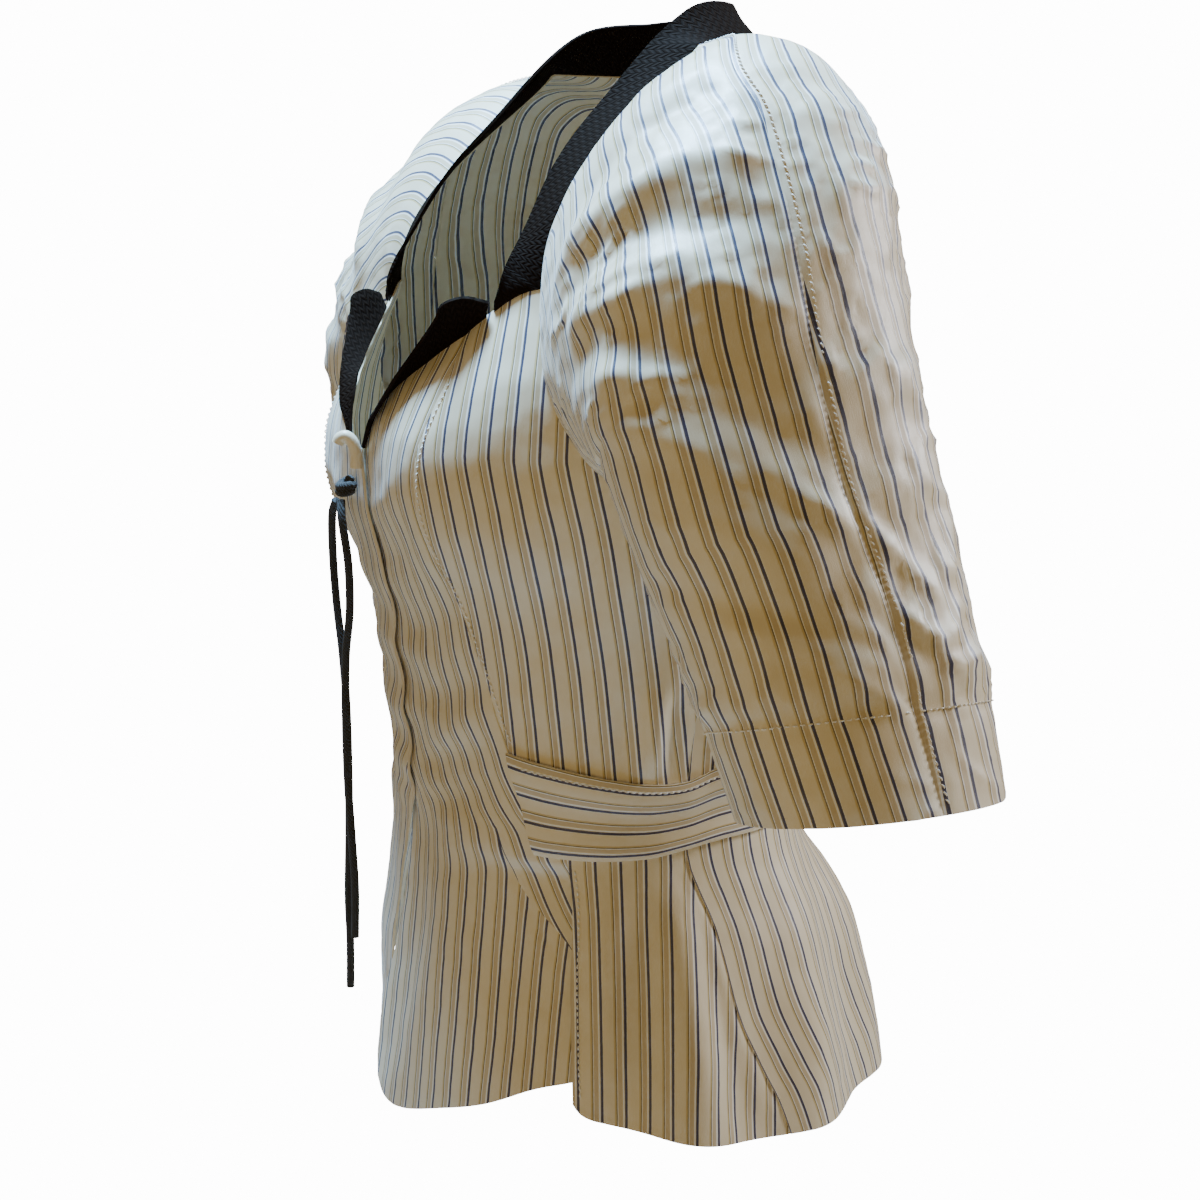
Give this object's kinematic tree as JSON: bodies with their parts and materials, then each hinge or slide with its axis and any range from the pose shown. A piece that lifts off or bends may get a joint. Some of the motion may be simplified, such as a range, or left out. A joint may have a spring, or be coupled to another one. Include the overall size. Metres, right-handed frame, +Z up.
{
  "type": "woman's striped summer jacket",
  "caption": "Fitted short-sleeved striped jacket with raglan sleeves, a black trimmed notched neckline, a half belt round the back and a split peplum.",
  "frame": {"origin": "midway between the two points where the shoulders meet the collar, at which the wearer's shoulders hold the jacket up", "axes": "+Z up the body, -Y out of the jacket's front, +X towards the wearer's left side"},
  "size_m": [0.5778, 0.2926, 0.5588],
  "materials": {
    "striped_cotton": "ivory cotton with a soft sheen, woven stripes in navy, olive and taupe",
    "black_trim": "matt black woven trim with a raised zigzag",
    "black_cord": "matt black cotton cord"
  },
  "bodies": {
    "root": {"front_left": "striped_cotton", "side_panel_left": "striped_cotton", "back_left": "striped_cotton", "sleeve_front_left": "striped_cotton", "sleeve_back_left": "striped_cotton", "front_right": "striped_cotton", "side_panel_right": "striped_cotton", "back_right": "striped_cotton", "sleeve_front_right": "striped_cotton", "sleeve_back_right": "striped_cotton", "belt": "striped_cotton", "neck_tab": "striped_cotton", "lapel_left": "black_trim", "lapel_right": "black_trim", "collar": "black_trim", "tie_knot": "black_cord", "tie_strand_left": "black_cord", "tie_strand_right": "black_cord"}
  },
  "joints": []
}
